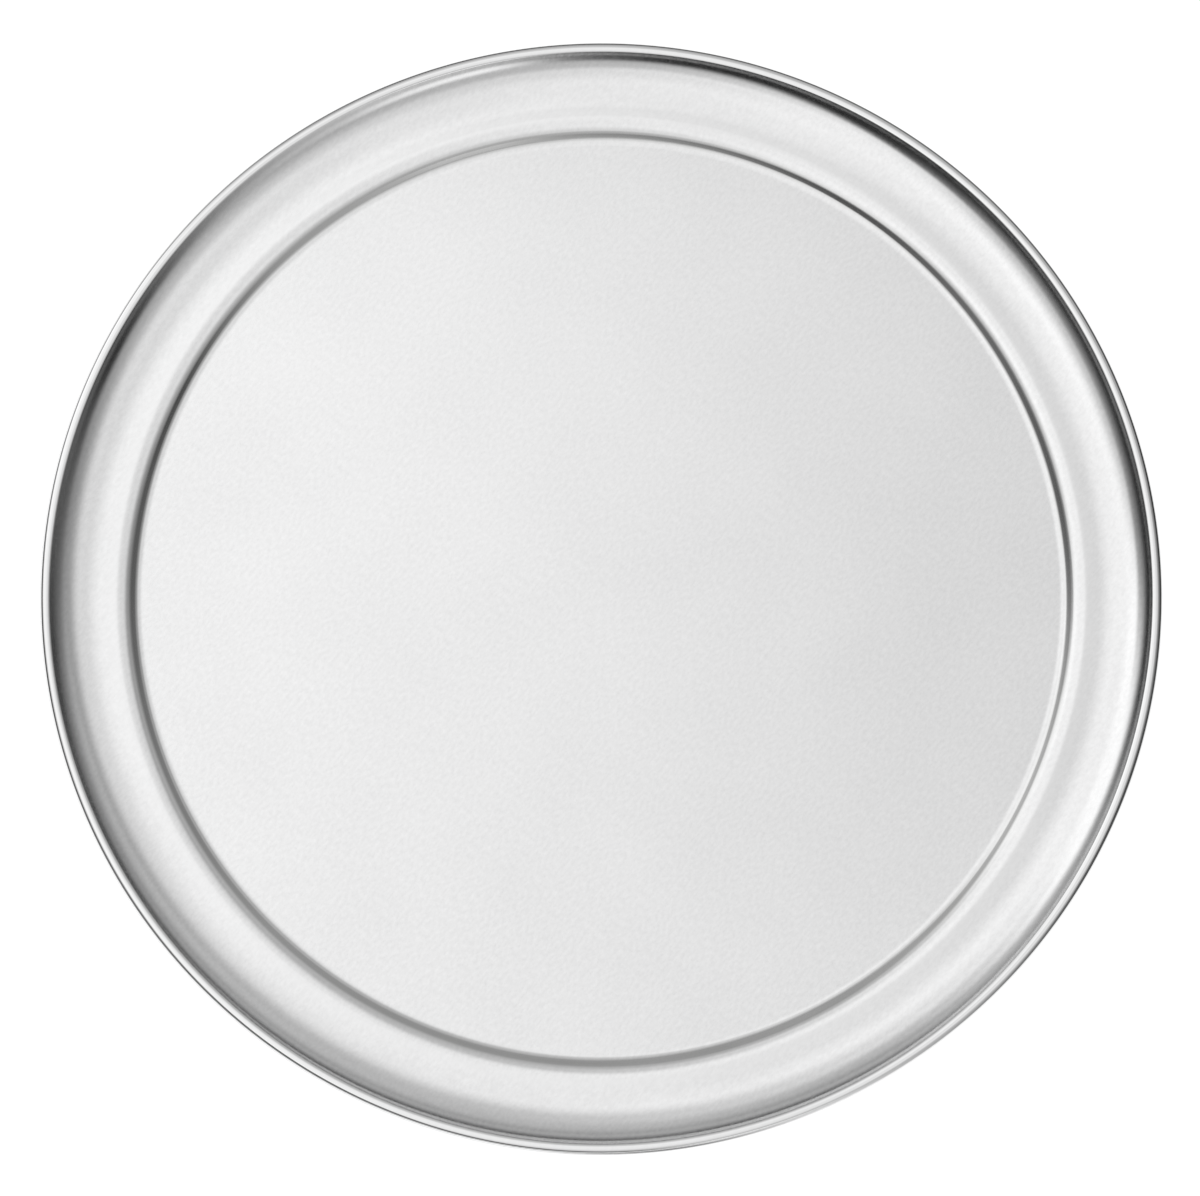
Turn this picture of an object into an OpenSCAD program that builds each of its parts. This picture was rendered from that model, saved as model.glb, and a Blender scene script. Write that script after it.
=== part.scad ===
// Wide rim pizza pan: one pressed sheet with a flat floor, a step, a flat rim and a rolled bead,
// and the hoop of wire that the bead is rolled round.
// The origin is the centre of the underside of the floor, with +Z up, and lengths are in millimetres.
// The section is drawn with x as the radius from the pan's axis and y as the height.

/* [Pan] */
// Outside diameter, across the bead
pan_d = 355.6; // [150:0.1:600]
// Height from the surface that the pan stands on to the top of the bead
pan_h = 12.7; // [9:0.1:20]
// Thickness of the sheet
sheet_t = 1; // [0.6:0.05:2]

/* [Step] */
// How far the rim stands above the floor
step_h = 3.7; // [3.1:0.1:6]
// Rise of the straight middle of the step, as a share of its run
step_rise_share = 0.85; // [0.4:0.05:1]
// Radius of the hollow corner where the step leaves the floor, on the upper face
step_foot_r = 4; // [1:0.1:6.9]
// Radius of the round shoulder where the step meets the rim, on the upper face
step_shoulder_r = 8.6; // [1.5:0.1:11.5]

/* [Rim] */
// Width of the flat part of the rim, between the step and the wall
rim_flat_w = 2.6; // [0.5:0.1:30]
// Width of the hollow wall, from the flat rim to the middle of the bead
wall_w = 17.8; // [9:0.1:40]

/* [Bead] */
// Diameter of the wire that the edge is rolled round
wire_d = 1.8; // [1:0.1:3.2]
// Gap between the wire and the sheet rolled round it
wire_clearance = 0.1; // [0.05:0.01:0.4]
// Gap between the two ends of the wire hoop
wire_joint_gap = 1.5; // [0.5:0.1:20]
// Gap between the cut edge of the sheet and the underside of the wall
curl_gap = 0.3; // [0.1:0.05:1]

/* [Hidden] */
$fn = 180;

// Stretches of the sheet that follow each other overlap by this much, so that they join in one solid.
stretch_lap = 0.03;

rim_z = sheet_t + step_h;

// The bead is as thick as the wire, its clearance and the sheet round them.
bore_r = wire_d / 2 + wire_clearance;
bead_r = bore_r + sheet_t;
bead = [pan_d / 2 - bead_r, pan_h - bead_r];

// The step is a hollow bend, a straight slope and a round bend.
step_slope = atan(step_rise_share);
step_bends_r = step_foot_r + step_shoulder_r;
step_slope_len = (step_h - step_bends_r * (1 - cos(step_slope))) / sin(step_slope);
step_w = step_bends_r * sin(step_slope) + step_slope_len * cos(step_slope);

// The floor fills what the step, the rim, the wall and the bead leave of the outside diameter.
wall_start = [bead.x - wall_w, rim_z];
rim_start = wall_start - [rim_flat_w, 0];
floor_r = rim_start.x - step_w;

step_foot = [floor_r, sheet_t + step_foot_r];
step_slope_start = step_foot + step_foot_r * [sin(step_slope), -cos(step_slope)];
step_shoulder = rim_start - [0, step_shoulder_r];

// Two arcs that touch take the sheet up from the flat rim: the wall, hollow, and then the bead, round.
// They start level at the edge of the rim and are level again at the top of the bead.
wall_rise = pan_h - rim_z;
wall_to_bead = (wall_w ^ 2 + wall_rise ^ 2) / (2 * wall_rise);
wall_r = wall_to_bead - bead_r;
wall_centre = wall_start + [0, wall_r];
wall_slope = 2 * atan(wall_rise / wall_w);
wall_lap_turn = 360 * stretch_lap / (2 * PI * wall_r);

// The curl stops where its cut edge is this far from the centre of the wall's arc.
cut_edge_reach = wall_r + sheet_t + curl_gap;
curl_stop = acos((wall_to_bead ^ 2 + bead_r ^ 2 - cut_edge_reach ^ 2) / (2 * wall_to_bead * bead_r));

wire_joint_angle = 360 * wire_joint_gap / (2 * PI * bead.x);

// A wedge that cuts a bend out of a ring has its corners no more than this many degrees apart.
wedge_turn = 45;

// The corners of a wedge about the origin that reaches past a circle of radius r.
function wedge_points(r, from, to) = let (
        steps = ceil((to - from) / wedge_turn),
        turn = (to - from) / steps,
        reach = 2 * r
    )
    concat([[0, 0]], [for (i = [0:steps]) reach * [cos(from + i * turn), sin(from + i * turn)]]);

// A bend in the sheet, between two angles about its centre. r is the radius of its inner face.
module sheet_bend(centre, r, from, to) {
    translate(centre)
        intersection() {
            difference() {
                circle(r = r + sheet_t);
                circle(r = r);
            }
            polygon(wedge_points(r + sheet_t, from, to));
        }
}

// A straight stretch of sheet. start is on its upper face, and slope is its angle in degrees.
module sheet_run(start, length, slope) {
    translate(start)
        rotate(slope)
            translate([0, -sheet_t])
                square([length, sheet_t]);
}

module floor_section() {
    sheet_run([0, sheet_t], floor_r, 0);
}

module step_section() {
    sheet_bend(step_foot, step_foot_r, -90, step_slope - 90);
    sheet_run(
        step_slope_start - stretch_lap * [cos(step_slope), sin(step_slope)],
        step_slope_len + 2 * stretch_lap,
        step_slope
    );
    sheet_bend(step_shoulder, step_shoulder_r - sheet_t, 90, 90 + step_slope);
}

module rim_section() {
    sheet_run(rim_start, rim_flat_w + stretch_lap, 0);
    sheet_bend(wall_centre, wall_r, -90, wall_slope - 90 + wall_lap_turn);
}

module curl_section() {
    sheet_bend(bead, bore_r, wall_slope + 90 + curl_stop - 360, wall_slope + 90);
}

// The pressed sheet, from the centre of the floor to the cut edge under the bead.
module pan_body() {
    color("gainsboro")
        rotate_extrude() {
            floor_section();
            step_section();
            rim_section();
            curl_section();
        }
}

// The wire hoop inside the bead. Its ends almost meet, at the back of the pan.
module bead_wire() {
    color("slategray")
        rotate(90 + wire_joint_angle / 2)
            rotate_extrude(angle = 360 - wire_joint_angle)
                translate(bead)
                    circle(d = wire_d);
}

pan_body();
bead_wire();
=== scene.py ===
# %% [markdown]
# # A wide rim pizza pan
#
# The real pan is one round sheet of aluminium. A press gives it a flat floor, a low step and a wide
# rim that curves up, and then its edge is rolled round a hoop of steel wire. So there are only two
# pieces to dress: the sheet and the wire.
#
# The solids come from a CAD model, the frame. Nothing in it is moved here. Its box is kept from the
# start, and the sheet is fitted inside it.

import math
from collections import namedtuple

import bpy
import numpy as np
from mathutils import Matrix, Vector


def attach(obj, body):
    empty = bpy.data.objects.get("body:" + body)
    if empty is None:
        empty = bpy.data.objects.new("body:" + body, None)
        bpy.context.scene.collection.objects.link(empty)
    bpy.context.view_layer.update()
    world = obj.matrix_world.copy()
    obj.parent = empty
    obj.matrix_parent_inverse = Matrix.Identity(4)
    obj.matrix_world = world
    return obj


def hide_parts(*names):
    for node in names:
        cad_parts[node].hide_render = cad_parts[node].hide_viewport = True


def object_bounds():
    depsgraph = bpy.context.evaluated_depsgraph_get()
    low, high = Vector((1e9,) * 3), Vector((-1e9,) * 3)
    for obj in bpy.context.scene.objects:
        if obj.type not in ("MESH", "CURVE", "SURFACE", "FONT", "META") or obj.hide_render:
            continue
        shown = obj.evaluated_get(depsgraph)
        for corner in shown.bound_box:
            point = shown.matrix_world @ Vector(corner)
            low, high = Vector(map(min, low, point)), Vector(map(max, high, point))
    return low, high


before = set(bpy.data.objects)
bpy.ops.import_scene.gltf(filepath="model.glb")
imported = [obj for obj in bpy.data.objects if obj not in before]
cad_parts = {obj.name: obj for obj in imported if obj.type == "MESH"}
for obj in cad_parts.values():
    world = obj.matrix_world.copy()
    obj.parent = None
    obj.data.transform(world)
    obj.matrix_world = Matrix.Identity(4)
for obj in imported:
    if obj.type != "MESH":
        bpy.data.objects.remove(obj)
cad_low, cad_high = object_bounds()
print("CAD pieces:", sorted(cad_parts))
print("CAD box, mm:", [round(1000 * (high - low), 2) for low, high in zip(cad_low, cad_high)])

# %% [markdown]
# ## The section of the sheet
#
# A pan is a body of revolution, so one drawing holds its whole shape: the section from the axis out
# to the rolled edge and back along the underside. It could be modelled by hand as a profile curve
# with a Screw or Spin modifier. Here it is worked out from the sizes that a pan maker would name,
# because then each bend is a true arc, and it touches its neighbours without a kink. A shiny metal
# shows a kink of half a degree as a line in its reflections.
#
# x is the radius from the axis, y is the height, and the lengths are in metres.

# %% Sizes of the pan
MM = 0.001
PAN_R = 177.8 * MM
PAN_H = 12.7 * MM
SHEET_T = 1.0 * MM
STEP_H = 3.7 * MM
STEP_RISE_SHARE = 0.85
STEP_FOOT_R = 4.0 * MM
STEP_SHOULDER_R = 8.6 * MM
RIM_FLAT_W = 2.6 * MM
WALL_W = 17.8 * MM
WIRE_R = 0.9 * MM
WIRE_CLEARANCE = 0.1 * MM
CURL_GAP = 0.3 * MM

RIM_Z = SHEET_T + STEP_H
BORE_R = WIRE_R + WIRE_CLEARANCE
BEAD_R = BORE_R + SHEET_T
BEAD = np.array([PAN_R - BEAD_R, PAN_H - BEAD_R])

# %% Where each bend starts
slope = math.atan(STEP_RISE_SHARE)
STEP_SLOPE = math.degrees(slope)
step_bends_r = STEP_FOOT_R + STEP_SHOULDER_R
step_run = (STEP_H - step_bends_r * (1 - math.cos(slope))) / math.sin(slope)
step_w = step_bends_r * math.sin(slope) + step_run * math.cos(slope)

WALL_START = BEAD[0] - WALL_W
RIM_START = WALL_START - RIM_FLAT_W
FLOOR_R = RIM_START - step_w

wall_rise = PAN_H - RIM_Z
wall_to_bead = (WALL_W ** 2 + wall_rise ** 2) / (2 * wall_rise)
WALL_R = wall_to_bead - BEAD_R
WALL_SLOPE = 2 * math.degrees(math.atan(wall_rise / WALL_W))
cut_edge_reach = WALL_R + SHEET_T + CURL_GAP
CURL_STOP = math.degrees(
    math.acos((wall_to_bead ** 2 + BEAD_R ** 2 - cut_edge_reach ** 2) / (2 * wall_to_bead * BEAD_R))
)
print("floor radius, mm:", round(FLOOR_R / MM, 2), " wall meets bead at degrees:", round(WALL_SLOPE, 1))

# %% [markdown]
# Each stretch of the section is an arc or a straight line, cut into enough steps that its facets
# can't be seen. Beside a bend, a flat stretch gets one narrow strip. Blender averages the
# normals of the faces that meet at a point, and the strip keeps that average from bending the
# reflections far out over the flat.

# %% Arcs and straight stretches
def arc(centre, radius, start, end, steps):
    """Points on a circle, from one angle to another in degrees."""
    angles = np.radians(np.linspace(start, end, steps + 1))
    return [(centre[0] + radius * math.cos(a), centre[1] + radius * math.sin(a)) for a in angles]


STRIP = 0.25 * MM


def flat(start, end, height, steps):
    """A level stretch, with a narrow strip at both ends."""
    inwards = math.copysign(STRIP, end - start)
    inner = np.linspace(start + inwards, end - inwards, steps + 1)
    return [(start, height), *((x, height) for x in inner), (end, height)]


def face_of_sheet(depth, floor_steps, foot_steps, shoulder_steps, wall_steps):
    """The upper face of the sheet from the axis to the bead, or the face that lies depth below it."""
    foot = (FLOOR_R, SHEET_T + STEP_FOOT_R)
    shoulder = (RIM_START, RIM_Z - STEP_SHOULDER_R)
    wall = (WALL_START, RIM_Z + WALL_R)
    first_ring = FLOOR_R / floor_steps
    return [
        *flat(first_ring, FLOOR_R, SHEET_T - depth, floor_steps - 1),
        *arc(foot, STEP_FOOT_R + depth, -90, STEP_SLOPE - 90, foot_steps),
        *arc(shoulder, STEP_SHOULDER_R - depth, STEP_SLOPE + 90, 90, shoulder_steps),
        *flat(RIM_START, WALL_START, RIM_Z - depth, 1),
        *arc(wall, WALL_R + depth, -90, WALL_SLOPE - 90, wall_steps),
    ]


# %% The whole outline of the sheet
CUT_EDGE = WALL_SLOPE + 90 + CURL_STOP - 360
SAME_PLACE = 1e-7


def without_repeats(points):
    """The points, less each one that lies on the point before it."""
    kept = points[:1]
    for point in points[1:]:
        if math.dist(point, kept[-1]) > SAME_PLACE:
            kept.append(point)
    return kept


upper_face = face_of_sheet(0, floor_steps=16, foot_steps=8, shoulder_steps=14, wall_steps=26)
bead_outside = arc(BEAD, BEAD_R, WALL_SLOPE + 90, CUT_EDGE, steps=44)
bead_inside = arc(BEAD, BORE_R, CUT_EDGE, WALL_SLOPE + 90, steps=22)
under_face = face_of_sheet(SHEET_T, floor_steps=16, foot_steps=8, shoulder_steps=9, wall_steps=18)
outline = without_repeats(upper_face + bead_outside + bead_inside + under_face[::-1])
print("points in the outline:", len(outline))

# %% [markdown]
# ## Press marks
#
# A pressed sheet is never quite true. Its floor springs up a little in the middle and isn't level
# between there and its edge, and the rolled bead rises and dips by a few hundredths of a
# millimetre as it goes round. Those are shapes and not texture, so they go into the mesh. They only
# ever take the floor up and the bead down, so the pan still stands on its floor and stays
# inside its box.

# %% How far the sheet is from true
FLOOR_SPRING = 0.10 * MM
FLOOR_ROLL = 0.05 * MM
BEAD_DIP = 0.05 * MM
PUCKER = 0.006 * MM
# (x - x^3)^2 is 4/27 at its highest between 0 and 1.
ROLL_TO_ONE = 27 / 4


def wave(turn, crests, start=0):
    """A wave that runs round the pan, with that many crests in a turn."""
    return np.sin(crests * turn + start)


def press_marks(radius, turn):
    """How much higher than the true section the sheet is, at a radius and an angle about the axis."""
    across = np.clip(radius / FLOOR_R, 0, 1)
    spring = FLOOR_SPRING * (1 - across ** 2) ** 2
    roll = FLOOR_ROLL * (across * (1 - across ** 2)) ** 2 * ROLL_TO_ONE * (1 + np.cos(2 * turn + 0.7))
    up_wall = np.clip((radius - WALL_START) / WALL_W, 0, 1)
    dip = (2 + wave(turn, crests=3, start=1.1) + wave(turn, crests=7, start=2.9)) / 4
    gathers = wave(turn, crests=41) * wave(turn, crests=5, start=0.4) + wave(turn, crests=29, start=1.9)
    pucker = PUCKER * np.sin(math.pi * up_wall) * gathers
    return spring + roll - BEAD_DIP * up_wall ** 2 * dip + pucker


# %% [markdown]
# ## Turning a section into a mesh
#
# Both pieces are swept round the axis: the sheet all the way, and the wire most of the way. A Screw
# modifier does the same, but then the press marks would need a second step. A short function lays
# out rings of points and joins each ring to the next with four-sided faces.

# %% Lathe
SEGMENTS = 500


def add_mesh(name, points, faces):
    """A smooth mesh object with that name."""
    mesh = bpy.data.meshes.new(name)
    mesh.from_pydata(points, [], faces)
    mesh.shade_smooth()
    mesh.update()
    made = bpy.data.objects.new(name, mesh)
    bpy.context.scene.collection.objects.link(made)
    return made


def swept_faces(rings, across, closed):
    """Four-sided faces between rings that each have the same number of points."""
    faces = []
    for ring in range(rings if closed else rings - 1):
        here, there = ring * across, (ring + 1) % rings * across
        faces += [(here + i, there + i, there + i + 1, here + i + 1) for i in range(across - 1)]
    return faces


def lathe_sheet(name, section):
    """The section swept all round, with its press marks, and closed at the axis above and below."""
    turns = np.linspace(0, 2 * math.pi, SEGMENTS, endpoint=False)
    radius, height = np.array(section).T
    turn = turns[:, None]
    level = height[None, :] + press_marks(radius[None, :], turn)
    rings = np.stack([radius * np.cos(turn), radius * np.sin(turn), level], axis=-1)
    points = rings.reshape(-1, 3).tolist()
    middle_top, middle_under = len(points), len(points) + 1
    spring = float(press_marks(np.array(0.0), np.array(0.0)))
    points += [(0, 0, SHEET_T + spring), (0, 0, spring)]
    across = len(section)
    faces = swept_faces(SEGMENTS, across, closed=True)
    for ring in range(SEGMENTS):
        here, there = ring * across, (ring + 1) % SEGMENTS * across
        faces.append((middle_top, there, here))
        faces.append((middle_under, here + across - 1, there + across - 1))
    return add_mesh(name, points, faces)


# %% The sheet, fitted inside the CAD box
# The CAD mesh is cut into facets, so its box is a few hundredths of a millimetre short of round.
reach = min(-cad_low.x, -cad_low.y, cad_high.x, cad_high.y)
fit = [(x * reach / PAN_R, y * cad_high.z / PAN_H) for x, y in outline]
pan = lathe_sheet("pan_sheet", fit)
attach(pan, "root")
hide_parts("pan_body")
print("sheet:", len(pan.data.vertices), "points,", len(pan.data.polygons), "faces")

# %% [markdown]
# ## The wire in the bead
#
# The wire is cut from a coil of drawn steel, bent into a hoop and laid in the edge before that is
# rolled over. Pinching cutters leave each end like the roof of a house: two short slopes that meet
# in a ridge. It can't be seen in a finished pan, but it belongs to the model, and it shows when the
# bead is cut open. A curve with a round bevel would give the hoop, but not its ends, so the rings
# are laid out as points.

# %% Rings along the wire
WIRE_JOINT_GAP = 1.5 * MM
WIRE_SIDES = 16
WIRE_RINGS = 480
RIDGE = 0.35 * MM
PINCH = 0.9


def wire_mesh(name, radius_of_hoop):
    """A hoop of round wire, open at the back of the pan, with a pinched end on each side."""
    half_gap = WIRE_JOINT_GAP / 2 / radius_of_hoop
    start, end = math.pi / 2 + half_gap, 5 * math.pi / 2 - half_gap
    sides = np.linspace(0, 2 * math.pi, WIRE_SIDES + 1)
    points = []
    for turn in np.linspace(start, end, WIRE_RINGS):
        near_end = max(0.0, 1 - min(turn - start, end - turn) * radius_of_hoop / RIDGE)
        out = radius_of_hoop + WIRE_R * np.cos(sides)
        up = BEAD[1] + WIRE_R * (1 - PINCH * near_end) * np.sin(sides)
        points += [(x * math.cos(turn), x * math.sin(turn), z) for x, z in zip(out, up)]
    faces = swept_faces(WIRE_RINGS, WIRE_SIDES + 1, closed=False)
    last = (WIRE_RINGS - 1) * (WIRE_SIDES + 1)
    faces.append(tuple(range(WIRE_SIDES)))
    faces.append(tuple(last + i for i in reversed(range(WIRE_SIDES))))
    return add_mesh(name, points, faces)


# %% The wire hoop
WELD_WITHIN = 0.001 * MM


def weld(piece, within):
    """Joins the points that lie on each other."""
    mesh = piece.data
    tool = piece.modifiers.new("weld", "WELD")
    tool.merge_threshold = within
    shown = piece.evaluated_get(bpy.context.evaluated_depsgraph_get())
    piece.data = bpy.data.meshes.new_from_object(shown)
    piece.modifiers.clear()
    bpy.data.meshes.remove(mesh)


wire = wire_mesh("hoop_wire", BEAD[0] * reach / PAN_R)
weld(wire, WELD_WITHIN)
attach(wire, "root")
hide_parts("bead_wire")
print("wire:", len(wire.data.vertices), "points,", len(wire.data.polygons), "faces")

# %% [markdown]
# ## Building materials from nodes
#
# A material could be wired up by hand in the Shader Editor. In a script, three small helpers keep
# that readable: one adds a node and fills its sockets, one does a sum, and one turns a measure
# into a mask that runs softly from 0 to 1.
#
# Every pattern here reads the Object coordinates, which are metres on the pan itself. So a grain of
# 2 mm stays 2 mm, and the pattern needs no UV map.

# %% Helpers for nodes
def add_node(tree, kind, inputs=None, **settings):
    """A new node. An input is a number, a colour, or the socket of another node."""
    made = tree.nodes.new(kind)
    for name, value in settings.items():
        setattr(made, name, value)
    for name, value in (inputs or {}).items():
        if isinstance(value, bpy.types.NodeSocket):
            tree.links.new(value, made.inputs[name])
        else:
            made.inputs[name].default_value = value
    return made


def calc(tree, operation, first, second=0.0, third=0.0):
    """The result of one sum."""
    inputs = {0: first, 1: second, 2: third}
    return add_node(tree, "ShaderNodeMath", inputs, operation=operation).outputs[0]


def mask(tree, value, low, high):
    """0 below low and 1 above high, with a soft run between them. Low may be the larger one."""
    inputs = {"Value": value, "From Min": low, "From Max": high}
    made = add_node(tree, "ShaderNodeMapRange", inputs, interpolation_type="SMOOTHSTEP")
    return made.outputs["Result"]


def band(tree, value, middle, half_width):
    """1 at the middle of a band and 0 outside it."""
    away = calc(tree, "ABSOLUTE", calc(tree, "SUBTRACT", value, middle))
    return mask(tree, away, half_width, 0.0)


def noise(tree, place, scale=1.0, detail=2.0, roughness=0.5, centred=True):
    """Noise between 0 and 1, or about 0 where it is centred."""
    inputs = {"Vector": place, "Scale": scale, "Detail": detail, "Roughness": roughness}
    value = add_node(tree, "ShaderNodeTexNoise", inputs).outputs["Fac"]
    return calc(tree, "SUBTRACT", value, 0.5) if centred else value


# %% Helpers for colours and places
def blend_colours(tree, share, first, second):
    """A colour between two others."""
    made = add_node(tree, "ShaderNodeMix", {"Factor": share}, data_type="RGBA")
    for socket, value in ((made.inputs[6], first), (made.inputs[7], second)):
        if isinstance(value, bpy.types.NodeSocket):
            tree.links.new(value, socket)
        else:
            socket.default_value = (*value, 1.0)
    return made.outputs[2]


def stretched(tree, place, direction, size):
    """The place measured in features that are so long, wide and high, and lie in that direction."""
    inputs = {"Vector": place, "Rotation": (0, 0, math.radians(direction)), "Scale": size}
    return add_node(tree, "ShaderNodeMapping", inputs, vector_type="TEXTURE").outputs["Vector"]


def new_material(name):
    """An empty material, with its node tree and its shader."""
    made = bpy.data.materials.new(name)
    made.use_nodes = True
    return made, made.node_tree, made.node_tree.nodes["Principled BSDF"]


# %% [markdown]
# ## Satin aluminium
#
# The sheet leaves the rolling mill with a satin face. Its grain is a fine mottle, drawn out in the
# direction in which it was rolled, and that direction runs on over the step and the rim, because it
# is the same sheet. Where the press tool rubbed, on the step and the wall, the face is smoother
# and shows sharper reflections. There are also faint rings there, from the tool.
#
# All of it is Metallic 1 with a pale base colour. What changes from place to place is the
# roughness, a very little of the colour, and the height, which goes to a Bump node in real
# metres, so that each mark is as deep as it would be on the pan.

# %% Places and zones on the pan
satin, tree, shader = new_material("satin_aluminium")
place = add_node(tree, "ShaderNodeTexCoord").outputs["Object"]
axes = add_node(tree, "ShaderNodeSeparateXYZ", {0: place})
height = axes.outputs["Z"]
level_place = add_node(tree, "ShaderNodeVectorMath", {0: place, 1: (1, 1, 0)}, operation="MULTIPLY")
length = add_node(tree, "ShaderNodeVectorMath", {0: level_place.outputs[0]}, operation="LENGTH")
radius = length.outputs["Value"]

PRESSED_RUN = 3 * MM
CREST_DEPTH = 1.0 * MM
SHOULDER_HALF_W = 4 * MM
SHOULDER_DEPTH = 0.3 * MM
UNDERSIDE_STARTS, UNDERSIDE_FULL = 0.6 * MM, 0.3 * MM
pressed = mask(tree, radius, FLOOR_R, FLOOR_R + PRESSED_RUN)
crest = mask(tree, height, PAN_H - CREST_DEPTH, PAN_H)
near_rim_start = band(tree, radius, RIM_START, SHOULDER_HALF_W)
near_rim_height = mask(tree, height, RIM_Z - SHOULDER_DEPTH, RIM_Z)
shoulder = calc(tree, "MULTIPLY", near_rim_start, near_rim_height)
stands_on = mask(tree, height, UNDERSIDE_STARTS, UNDERSIDE_FULL)

# %% The rolled grain
ROLLED_AT = 52
MOTTLE = (1.9 * MM, 1.1 * MM, 1.1 * MM)
FINE_LINE = (9.0 * MM, 0.45 * MM, 0.45 * MM)
CLOUD = 45 * MM
MOTTLE_DEPTH = 0.005 * MM
FINE_LINE_DEPTH = 0.0012 * MM

mottle = noise(tree, stretched(tree, place, ROLLED_AT, MOTTLE), detail=3.0, roughness=0.55)
fine_line = noise(tree, stretched(tree, place, ROLLED_AT, FINE_LINE), detail=1.0)
cloud = noise(tree, place, scale=1 / CLOUD, detail=2.0)

# %% Rings from the press tool
RING_SPACING = 1.4 * MM
RING_DEPTH = 0.002 * MM
ring_place = add_node(tree, "ShaderNodeCombineXYZ", {"X": calc(tree, "DIVIDE", radius, RING_SPACING)})
ring = calc(tree, "MULTIPLY", noise(tree, ring_place.outputs[0], detail=3.0, roughness=0.7), pressed)
CREASE_R = RIM_START - 1.2 * MM
CREASE_HALF_W = 0.9 * MM
CREASE_DEPTH = 0.009 * MM
crease = calc(tree, "MULTIPLY", band(tree, radius, CREASE_R, CREASE_HALF_W), pressed)

# %% [markdown]
# Wear shows where the pan touches things. The underside of the floor slides on oven racks and decks,
# so it has crossing scratches, and it is duller and a little darker from the oven. The crest of the
# bead and the shoulder of the step are what other pans rub when they are stacked, so they are a
# little brighter and polished. A few tiny dark pits are left in the sheet. They come from a Voronoi
# pattern with large cells, of which only the ones with a low random number get a pit.

# %% Scratches on the underside
SCRATCH_DIRECTIONS = (9, 34, 81, 128)
SCRATCH = (60 * MM, 0.7 * MM, 0.7 * MM)
SCRATCH_DEPTH = 0.006 * MM
# The noise makes a scratch only where it is this high.
SCRATCH_STARTS, SCRATCH_FULL = 0.63, 0.70
scratch = 0.0
for direction in SCRATCH_DIRECTIONS:
    lines = noise(tree, stretched(tree, place, direction, SCRATCH), detail=2.0, centred=False)
    scratch = calc(tree, "MAXIMUM", scratch, mask(tree, lines, SCRATCH_STARTS, SCRATCH_FULL))
scratch = calc(tree, "MULTIPLY", scratch, stands_on)

# %% Pits in the sheet
PIT_CELL = 26 * MM
PIT_R = 0.45 * MM
PIT_SHARE = 0.22
PIT_DEPTH = 0.02 * MM
pit_reach = PIT_R / PIT_CELL
cells = add_node(tree, "ShaderNodeTexVoronoi", {"Vector": level_place.outputs[0], "Scale": 1 / PIT_CELL})
random_number = add_node(tree, "ShaderNodeSeparateColor", {0: cells.outputs["Color"]}).outputs[0]
pit_here = calc(tree, "LESS_THAN", random_number, PIT_SHARE)
pit = calc(tree, "MULTIPLY", mask(tree, cells.outputs["Distance"], pit_reach, 0.4 * pit_reach), pit_here)

# %% Painted shade along the foot of the step
# This patchy darker band along the foot of the step is painted shade, standing in for the dark ring in the
# crease.
STEP_SHADE_R = 149.5 * MM
STEP_SHADE_HALF_W = 2.4 * MM
STEP_SHADE_PATCH = 30 * MM
STEP_SHADE_SHARE = 0.9
patchy = noise(tree, place, scale=1 / STEP_SHADE_PATCH, detail=2.0)
along_step = band(tree, radius, STEP_SHADE_R, STEP_SHADE_HALF_W)
painted_step_shade = calc(tree, "MULTIPLY", along_step, calc(tree, "ADD", patchy, STEP_SHADE_SHARE))

# %% The colour of the metal
ALUMINIUM_DULL = (0.85, 0.85, 0.853)
ALUMINIUM_BRIGHT = (0.98, 0.98, 0.982)
ALUMINIUM_WORN = (0.96, 0.96, 0.962)
ALUMINIUM_UNDER = (0.76, 0.76, 0.757)
ALUMINIUM_PIT = (0.60, 0.60, 0.61)
# The colour of the painted shade along the foot of the step.
ALUMINIUM_PAINTED_SHADE = (0.73, 0.73, 0.725)
PLAIN_TONE, MOTTLE_TONE, CLOUD_TONE = 0.55, 1.5, 0.6
CREST_WORN, SHOULDER_WORN = 0.7, 0.4
BAKED_SHARE, BAKED_CLOUDS = 0.5, 2.2
SCRATCH_BRIGHT = 0.8

tone = calc(tree, "MULTIPLY_ADD", mottle, MOTTLE_TONE, PLAIN_TONE)
tone = calc(tree, "MULTIPLY_ADD", cloud, CLOUD_TONE, tone)
colour = blend_colours(tree, tone, ALUMINIUM_DULL, ALUMINIUM_BRIGHT)
worn_crest = calc(tree, "MULTIPLY", crest, CREST_WORN)
worn = calc(tree, "MAXIMUM", worn_crest, calc(tree, "MULTIPLY", shoulder, SHOULDER_WORN))
colour = blend_colours(tree, worn, colour, ALUMINIUM_WORN)
clouds_under = calc(tree, "MULTIPLY_ADD", cloud, BAKED_CLOUDS, BAKED_SHARE)
baked = calc(tree, "MULTIPLY", stands_on, clouds_under)
colour = blend_colours(tree, baked, colour, ALUMINIUM_UNDER)
bare_again = calc(tree, "MULTIPLY", scratch, SCRATCH_BRIGHT)
colour = blend_colours(tree, bare_again, colour, ALUMINIUM_WORN)
colour = blend_colours(tree, pit, colour, ALUMINIUM_PIT)
# Painted shade along the foot of the step.
colour = blend_colours(tree, painted_step_shade, colour, ALUMINIUM_PAINTED_SHADE)

# %% Its roughness
SATIN_ROUGHNESS = 0.18
PRESSED_ROUGHNESS = 0.125
rough = SATIN_ROUGHNESS
for pattern, extra in (
    (pressed, PRESSED_ROUGHNESS - SATIN_ROUGHNESS),
    (mottle, 0.05),
    (cloud, 0.04),
    (worn, -0.03),
    (stands_on, 0.10),
    (scratch, 0.08),
    (pit, 0.30),
):
    rough = calc(tree, "MULTIPLY_ADD", pattern, extra, rough)

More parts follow.
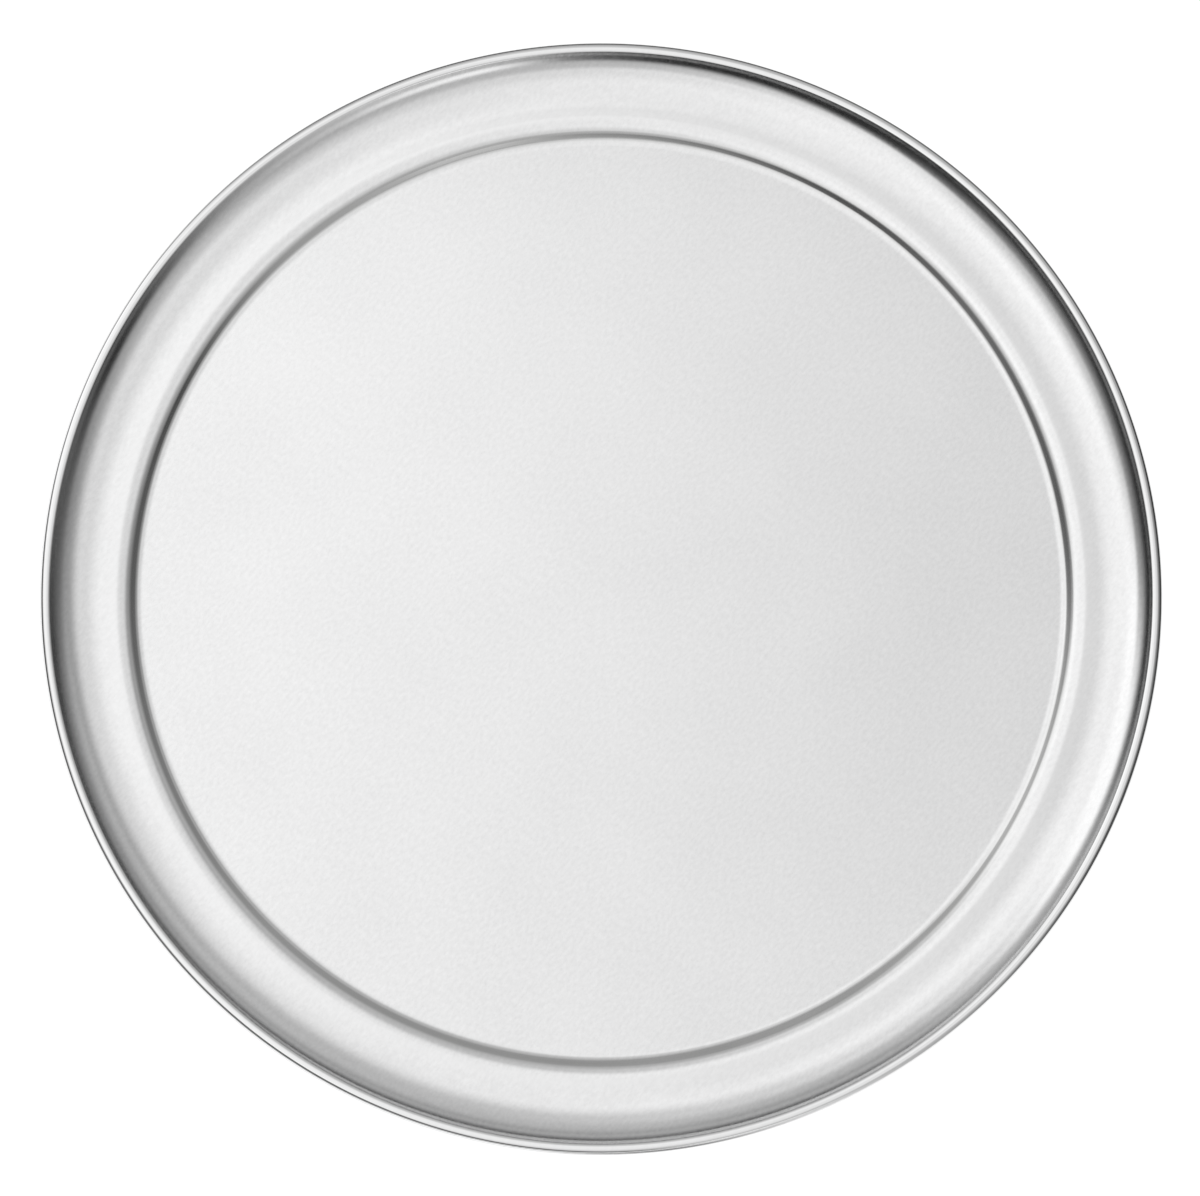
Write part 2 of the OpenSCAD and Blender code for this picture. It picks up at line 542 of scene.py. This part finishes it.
# %% Its height, and the finished shader
PRESSED_FLATTER = 0.45
grain = calc(tree, "MULTIPLY", mottle, MOTTLE_DEPTH)
grain = calc(tree, "MULTIPLY_ADD", fine_line, FINE_LINE_DEPTH, grain)
marks = calc(tree, "MULTIPLY", grain, calc(tree, "MULTIPLY_ADD", pressed, -PRESSED_FLATTER, 1.0))
for pattern, depth in (
    (ring, RING_DEPTH),
    (crease, CREASE_DEPTH),
    (scratch, -SCRATCH_DEPTH),
    (pit, -PIT_DEPTH),
):
    marks = calc(tree, "MULTIPLY_ADD", pattern, depth, marks)
bump = add_node(tree, "ShaderNodeBump", {"Strength": 1.0, "Distance": 1.0, "Height": marks})
shader.inputs["Metallic"].default_value = 1.0
tree.links.new(colour, shader.inputs["Base Color"])
tree.links.new(rough, shader.inputs["Roughness"])
tree.links.new(bump.outputs[0], shader.inputs["Normal"])
pan.data.materials.append(satin)
print("satin aluminium:", len(tree.nodes), "nodes")

# %% [markdown]
# ## Drawn steel wire
#
# Wire is pulled through a die, which leaves fine lines along it, and a grey skin with darker patches
# where it has dulled. Along a hoop, a line keeps its distance from the axis and its height, so a
# noise that reads only those two makes lines that follow the wire all round.

# %% The wire's material
steel, tree, shader = new_material("drawn_steel")
place = add_node(tree, "ShaderNodeTexCoord").outputs["Object"]
axes = add_node(tree, "ShaderNodeSeparateXYZ", {0: place})
level_place = add_node(tree, "ShaderNodeVectorMath", {0: place, 1: (1, 1, 0)}, operation="MULTIPLY")
length = add_node(tree, "ShaderNodeVectorMath", {0: level_place.outputs[0]}, operation="LENGTH")
DRAW_LINE = 0.12 * MM
DRAW_LINE_DEPTH = 0.004 * MM
STEEL_PATCH = 6 * MM
STEEL_DULL = (0.40, 0.40, 0.41)
STEEL_BRIGHT = (0.62, 0.63, 0.64)
STEEL_TONE, PATCH_TONE, LINE_TONE = 0.5, 1.2, 0.6
STEEL_ROUGHNESS, PATCH_ROUGHER = 0.38, 0.2
in_section = {"X": length.outputs["Value"], "Y": axes.outputs["Z"]}
section_place = add_node(tree, "ShaderNodeCombineXYZ", in_section)
draw_line = noise(tree, section_place.outputs[0], scale=1 / DRAW_LINE, detail=2.0)
patch = noise(tree, place, scale=1 / STEEL_PATCH, detail=3.0)
share = calc(tree, "MULTIPLY_ADD", patch, PATCH_TONE, STEEL_TONE)
share = calc(tree, "MULTIPLY_ADD", draw_line, LINE_TONE, share)
rough = calc(tree, "MULTIPLY_ADD", patch, PATCH_ROUGHER, STEEL_ROUGHNESS)
marks = calc(tree, "MULTIPLY", draw_line, DRAW_LINE_DEPTH)
steel_bump = add_node(tree, "ShaderNodeBump", {"Strength": 1.0, "Distance": 1.0, "Height": marks})
shader.inputs["Metallic"].default_value = 1.0
tree.links.new(blend_colours(tree, share, STEEL_DULL, STEEL_BRIGHT), shader.inputs["Base Color"])
tree.links.new(rough, shader.inputs["Roughness"])
tree.links.new(steel_bump.outputs[0], shader.inputs["Normal"])
wire.data.materials.append(steel)
print("drawn steel:", len(tree.nodes), "nodes")

# %% [markdown]
# ## A tent of light
#
# Polished metal has hardly a look of its own: it shows what stands round it. Photographers put such
# a pan in a tent of white cloth that is lit from outside, brighter on one side. They hang grey and
# black cards low down inside it, and thin shades higher up. The pale cloth makes the floor of the
# pan silvery, the shades tone its rim, and the cards draw the dark lines along its step and its
# wall. A few lamps can't do this, because metal would show each of them as a spot.
#
# Here the tent is a large ball round the pan. Python works out how bright it is in each direction
# and stores that on its points, and its material only glows with the stored number. The camera
# doesn't see it.

# %% Brightness of the cloth and the cards
def soft_step(low, high, value):
    """0 below low and 1 above high, with a soft run between them."""
    t = np.clip((value - low) / (high - low), 0, 1)
    return t * t * (3 - 2 * t)


def past(border, softness, value):
    """0 before a border and 1 past it, with its softness between them."""
    return soft_step(border - softness / 2, border + softness / 2, value)


# All angles are in degrees. An azimuth runs from +X towards +Y, and a top and a bottom are measured
# down from straight above. A card fades out over side at its two sides, and over edge above and below.
Card = namedtuple("Card", "azimuth half_width side top bottom edge light")
CARDS = {
    "shade right": Card(azimuth=19, half_width=98, side=203, top=28, bottom=59, edge=23, light=0.33),
    "grey right": Card(azimuth=16, half_width=19, side=54, top=24, bottom=112, edge=46, light=0.22),
    "pale back": Card(azimuth=72, half_width=62, side=42, top=49, bottom=76, edge=14, light=0.49),
    "black back": Card(azimuth=41, half_width=106, side=82, top=74, bottom=112, edge=34, light=0.01),
    "grey left": Card(azimuth=206, half_width=40, side=46, top=56, bottom=81, edge=8, light=0.02),
    "black left": Card(azimuth=169, half_width=34, side=61, top=70, bottom=91, edge=19, light=0.01),
    "black front left": Card(azimuth=234, half_width=58, side=68, top=57, bottom=77, edge=8, light=0.01),
    "low left": Card(azimuth=240, half_width=46, side=24, top=84, bottom=93, edge=8, light=0.08),
    "pale front": Card(azimuth=281, half_width=37, side=61, top=46, bottom=61, edge=8, light=0.50),
    "lamp front": Card(azimuth=290, half_width=11, side=13, top=61, bottom=70, edge=6, light=1.20),
    "black front right": Card(azimuth=342, half_width=35, side=80, top=56, bottom=83, edge=22, light=0.01),
    "cloth fold left": Card(azimuth=197, half_width=26, side=32, top=43, bottom=62, edge=32, light=0.42),
    "shade high right": Card(azimuth=3, half_width=71, side=105, top=7, bottom=39, edge=29, light=0.72),
    "low front": Card(azimuth=278, half_width=11, side=23, top=88, bottom=128, edge=13, light=0.22),
    "shade high left": Card(azimuth=156, half_width=22, side=52, top=8, bottom=40, edge=25, light=0.93),
    "cloth high right": Card(azimuth=326, half_width=24, side=64, top=20, bottom=32, edge=25, light=0.85),
}
# The cloth's light straight above, how it leans towards +X and +Y, and how it grows to the sides.
CLOTH_ABOVE = 0.87
CLOTH_TOWARDS_X, CLOTH_TOWARDS_Y = -0.07, 0.04
CLOTH_SIDES_X, CLOTH_SIDES_Y, CLOTH_ASLANT = 0.84, 0.53, -0.32
BRIGHTEST = 1.07
GROUND_LIGHT = 0.85
GROUND_STARTS, GROUND_ALONE = 100, 150


def tent_light(azimuth, polar):
    """How brightly the tent glows in a direction: the cloth, then each card over it, and the ground."""
    x = np.sin(np.radians(polar)) * np.cos(np.radians(azimuth))
    y = np.sin(np.radians(polar)) * np.sin(np.radians(azimuth))
    light = CLOTH_ABOVE + CLOTH_TOWARDS_X * x + CLOTH_TOWARDS_Y * y
    light = light + CLOTH_SIDES_X * x * x + CLOTH_SIDES_Y * y * y + CLOTH_ASLANT * x * y
    for card in CARDS.values():
        away = np.abs((azimuth - card.azimuth + 180) % 360 - 180)
        share = 1 - past(card.half_width, card.side, away)
        share = share * past(card.top, card.edge, polar)
        share = share * (1 - past(card.bottom, card.edge, polar))
        light = light * (1 - share) + card.light * share
    below = soft_step(GROUND_STARTS, GROUND_ALONE, polar)
    return np.minimum(light, BRIGHTEST) * (1 - below) + GROUND_LIGHT * below


# %% The tent
TENT_R = 1.0
TENT_STEP = 2


def make_tent():
    """A ball of light round the pan, with its brightness in each direction stored on its points."""
    azimuths = np.arange(0, 360 + TENT_STEP, TENT_STEP)
    polars = np.arange(0, 180 + TENT_STEP, TENT_STEP)
    azimuth, polar = (a.ravel() for a in np.meshgrid(azimuths, polars, indexing="ij"))
    a, p = np.radians(azimuth), np.radians(polar)
    points = TENT_R * np.stack([np.sin(p) * np.cos(a), np.sin(p) * np.sin(a), np.cos(p)], axis=-1)
    tent = add_mesh("tent", points.tolist(), swept_faces(len(azimuths), len(polars), closed=False))
    glow = tent.data.attributes.new("glow", "FLOAT", "POINT")
    glow.data.foreach_set("value", tent_light(azimuth, polar).astype(np.float32))
    return tent


tent = make_tent()
cloth = bpy.data.materials.new("lit_cloth")
cloth.use_nodes = True
cloth.node_tree.nodes.clear()
glow = add_node(cloth.node_tree, "ShaderNodeAttribute", attribute_name="glow")
lit = add_node(cloth.node_tree, "ShaderNodeEmission", {"Strength": glow.outputs["Fac"]})
add_node(cloth.node_tree, "ShaderNodeOutputMaterial", {"Surface": lit.outputs[0]})
cloth.cycles.emission_sampling = "NONE"
tent.data.materials.append(cloth)
tent.visible_camera = False
tent.visible_shadow = False
print("tent:", len(CARDS), "cards and shades,", len(tent.data.vertices), "points")

# %% [markdown]
# ## The floor, the backdrop and a soft key lamp
#
# The pan lies on a plain floor that is white in the photograph, with no shadow on it. Painted matt,
# it would be a grey in the picture, so its material adds a glow for the camera alone that brings it
# to white, also far out, where the tent gives it less light. What the pan's shadow takes away is
# missing there, but only close under the rim is that enough to leave it below white. Past the floor
# the camera sees the world, which is white at a strength of 1.
#
# The key lamp stands high up at the back left, and adds soft light to the floor alone. The metal
# doesn't see it, because it would show in it as a spot.
#
# From below, the floor is clear, so that the underside of the pan can be looked at. Metal sees the
# tent below the level and not the floor, which would lie against the pan's underside.

# %% Floor
FLOOR_REACH = 0.99 * TENT_R
FLOOR_PAINT = 0.34
FLOOR_GLOW = 0.87
FLOOR_CORNERS = 96
FLOOR_DROP = 0.05 * MM
corners = [2 * math.pi * i / FLOOR_CORNERS for i in range(FLOOR_CORNERS)]
floor = add_mesh(
    "studio_floor",
    [(FLOOR_REACH * math.cos(a), FLOOR_REACH * math.sin(a), -FLOOR_DROP) for a in corners],
    [tuple(range(FLOOR_CORNERS))],
)
paint = bpy.data.materials.new("white_floor")
paint.use_nodes = True
tree = paint.node_tree
tree.nodes.clear()
matt = add_node(tree, "ShaderNodeBsdfDiffuse", {"Color": (FLOOR_PAINT, FLOOR_PAINT, FLOOR_PAINT, 1)})
seen = add_node(tree, "ShaderNodeLightPath").outputs["Is Camera Ray"]
glow = add_node(tree, "ShaderNodeEmission", {"Strength": calc(tree, "MULTIPLY", seen, FLOOR_GLOW)})
both = add_node(tree, "ShaderNodeAddShader", {0: matt.outputs[0], 1: glow.outputs[0]})
from_below = add_node(tree, "ShaderNodeNewGeometry").outputs["Backfacing"]
clear = add_node(tree, "ShaderNodeBsdfTransparent")
whole = add_node(tree, "ShaderNodeMixShader", {0: from_below, 1: both.outputs[0], 2: clear.outputs[0]})
add_node(tree, "ShaderNodeOutputMaterial", {"Surface": whole.outputs[0]})
floor.data.materials.append(paint)
floor.visible_glossy = False
print("studio floor, m across:", 2 * FLOOR_REACH)

# %% World
world = bpy.data.worlds.new("white_backdrop")
bpy.context.scene.world = world
world.use_nodes = True
tree = world.node_tree
backdrop = tree.nodes["Background"]
path = add_node(tree, "ShaderNodeLightPath")
direct = calc(tree, "MAXIMUM", path.outputs["Is Camera Ray"], path.outputs["Is Glossy Ray"])
direct = calc(tree, "MAXIMUM", direct, path.outputs["Is Transmission Ray"])
PLAIN_LIGHT = 0.6
strength = calc(tree, "MULTIPLY_ADD", direct, 1 - PLAIN_LIGHT, PLAIN_LIGHT)
tree.links.new(strength, backdrop.inputs["Strength"])
backdrop.inputs["Color"].default_value = (1, 1, 1, 1)
print("backdrop:", len(tree.nodes), "nodes")

# %% Key lamp
KEY_LAMP_PLACE = Vector((-0.9, 0.5, 1.6))
KEY_LAMP_SIZE = 0.9
KEY_LAMP_WATTS = 3.0
key = bpy.data.lights.new("key_lamp", "AREA")
key.shape = "DISK"
key.size = KEY_LAMP_SIZE
key.energy = KEY_LAMP_WATTS
key_lamp = bpy.data.objects.new("key_lamp", key)
key_lamp.location = KEY_LAMP_PLACE
key_lamp.rotation_euler = (-KEY_LAMP_PLACE).to_track_quat("-Z", "Y").to_euler()
key_lamp.visible_glossy = False
bpy.context.scene.collection.objects.link(key_lamp)
print("key lamp, m from the pan:", round(KEY_LAMP_PLACE.length, 2))

# %% [markdown]
# ## The camera
#
# The photograph looks down almost along the axis: the step's ring and the rim's outline are nearly
# round and nearly have one centre. A circle that is seen aslant looks like an ellipse, so how much
# narrower than long those two are tells how far the camera leans and along which line. It hardly
# tells which way along that line, because a low pan looks almost the same from both sides. Here the
# camera leans towards the front, as over a table. How much smaller the ring looks than the rim tells
# roughly how far away it is.

# %% Camera
SENSOR = 36.0
CAMERA_DISTANCE = 1.15
CAMERA_LEAN = 7.88
CAMERA_AZIMUTH = -85.5
LENS = 107.9
AIM = Vector((-0.14 * MM, -1.92 * MM, 0.0))

lean, round_axis = math.radians(CAMERA_LEAN), math.radians(CAMERA_AZIMUTH)
back = Vector((
    math.sin(lean) * math.cos(round_axis),
    math.sin(lean) * math.sin(round_axis),
    math.cos(lean),
))
camera_data = bpy.data.cameras.new("camera")
camera_data.sensor_width = SENSOR
camera_data.lens = LENS
camera_data.clip_start = 0.01
camera = bpy.data.objects.new("camera", camera_data)
camera.location = back * CAMERA_DISTANCE
look = (AIM - camera.location).normalized()
right = look.cross(Vector((0, 1, 0))).normalized()
upright = right.cross(look)
camera.rotation_euler = Matrix((right, upright, -look)).transposed().to_euler()
bpy.context.scene.collection.objects.link(camera)
bpy.context.scene.camera = camera
print("camera, m:", [round(x, 3) for x in camera.location])

# %% Colours as they are written
bpy.context.scene.view_settings.view_transform = "Standard"
